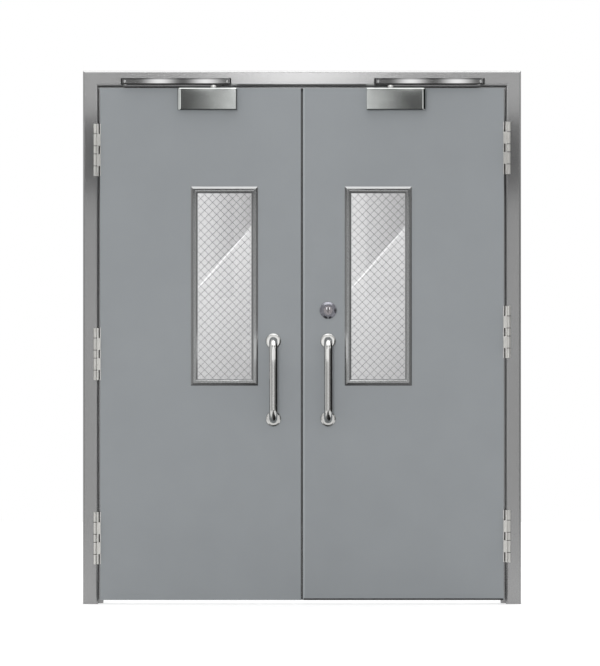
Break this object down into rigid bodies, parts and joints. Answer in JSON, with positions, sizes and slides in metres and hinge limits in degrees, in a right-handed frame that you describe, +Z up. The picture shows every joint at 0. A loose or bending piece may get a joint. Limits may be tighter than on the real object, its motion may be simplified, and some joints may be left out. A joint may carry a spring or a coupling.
{
  "type": "fire door",
  "caption": "Steel double-leaf fire door in a folded steel frame: glazed wired-glass panels, knuckle hinges, pull handles, a cylinder lock and overhead closers with folding arms.",
  "frame": {"origin": "centre of the underside of the left jamb's floor anchor, on the finished floor", "axes": "+X to the right seen from the pull side, +Y through the doorway away from the pull side, +Z up"},
  "size_m": [1.746, 0.1895, 2.125],
  "materials": {
    "frame_paint": "satin grey paint over folded steel sheet",
    "leaf_paint": "satin blue-grey powder coat",
    "zinc_plate": "zinc plated",
    "hinge_steel": "satin nickel plated steel",
    "bright_moulding": "polished stainless steel",
    "wired_glass": "wired safety glass, slightly obscured",
    "satin_handle": "satin stainless steel",
    "closer_housing": "silver enamelled cast housing",
    "satin_arm": "plated steel lever",
    "polished_arm": "polished plated steel",
    "lock_steel": "satin stainless steel",
    "lock_plug": "nickel plated brass"
  },
  "bodies": {
    "frame": {"frame_head": "frame_paint", "left_jamb": "frame_paint", "left_floor_anchor": "zinc_plate", "left_closer_shoe": "polished_arm", "left_top_hinge_frame_half": "hinge_steel", "left_middle_hinge_frame_half": "hinge_steel", "left_bottom_hinge_frame_half": "hinge_steel", "right_jamb": "frame_paint", "right_floor_anchor": "zinc_plate", "right_closer_shoe": "polished_arm", "right_top_hinge_frame_half": "hinge_steel", "right_middle_hinge_frame_half": "hinge_steel", "right_bottom_hinge_frame_half": "hinge_steel"},
    "left_leaf": {"left_top_hinge_leaf_half": "hinge_steel", "left_middle_hinge_leaf_half": "hinge_steel", "left_bottom_hinge_leaf_half": "hinge_steel", "left_leaf": "leaf_paint", "left_vision_frame_front": "bright_moulding", "left_vision_frame_back": "bright_moulding", "left_vision_glass": "wired_glass", "left_pull_handle": "satin_handle", "left_upper_handle_rose": "satin_handle", "left_lower_handle_rose": "satin_handle", "left_closer_body": "closer_housing", "lock_strike": "lock_steel"},
    "right_leaf": {"right_top_hinge_leaf_half": "hinge_steel", "right_middle_hinge_leaf_half": "hinge_steel", "right_bottom_hinge_leaf_half": "hinge_steel", "right_leaf": "leaf_paint", "right_vision_frame_front": "bright_moulding", "right_vision_frame_back": "bright_moulding", "right_vision_glass": "wired_glass", "right_pull_handle": "satin_handle", "right_upper_handle_rose": "satin_handle", "right_lower_handle_rose": "satin_handle", "right_closer_body": "closer_housing", "lock_ring_front": "lock_steel", "lock_ring_back": "lock_steel", "lock_plug_front": "lock_plug", "lock_plug_back": "lock_plug", "lock_forend": "lock_steel"},
    "left_main_arm": {"left_closer_main_arm": "satin_arm"},
    "right_main_arm": {"right_closer_main_arm": "satin_arm"},
    "left_forearm": {"left_closer_forearm": "polished_arm"},
    "right_forearm": {"right_closer_forearm": "polished_arm"}
  },
  "joints": [
    {"name": "left_leaf_swing", "type": "hinge", "parent": "frame", "child": "left_leaf", "pos_m": [0.017, -0.063, 1.036], "axis": [0, 0, -1], "range_deg": [0, 90], "stiffness_Nm_per_rad": 12, "springref_deg": -11.46},
    {"name": "left_main_arm_swing", "type": "hinge", "parent": "left_leaf", "child": "left_main_arm", "pos_m": [0.488, -0.078, 2.063], "axis": [0, 0, -1], "range_deg": [0, 28]},
    {"name": "left_forearm_swing", "type": "hinge", "parent": "frame", "child": "left_forearm", "pos_m": [0.541, -0.078, 2.082], "axis": [0, 0, 1], "range_deg": [0, 21.5]},
    {"name": "right_leaf_swing", "type": "hinge", "parent": "frame", "child": "right_leaf", "pos_m": [1.663, -0.063, 1.036], "axis": [0, 0, 1], "range_deg": [0, 90], "stiffness_Nm_per_rad": 12, "springref_deg": -11.46},
    {"name": "right_main_arm_swing", "type": "hinge", "parent": "right_leaf", "child": "right_main_arm", "pos_m": [1.192, -0.078, 2.063], "axis": [0, 0, 1], "range_deg": [0, 28]},
    {"name": "right_forearm_swing", "type": "hinge", "parent": "frame", "child": "right_forearm", "pos_m": [1.139, -0.078, 2.082], "axis": [0, 0, -1], "range_deg": [0, 21.5]}
  ],
  "couplings": [
    {"joint": "left_main_arm_swing", "follows": "left_leaf_swing", "ratio": 0.30482},
    {"joint": "left_forearm_swing", "follows": "left_leaf_swing", "ratio": 0.23281},
    {"joint": "right_main_arm_swing", "follows": "right_leaf_swing", "ratio": 0.30482},
    {"joint": "right_forearm_swing", "follows": "right_leaf_swing", "ratio": 0.23281}
  ]
}
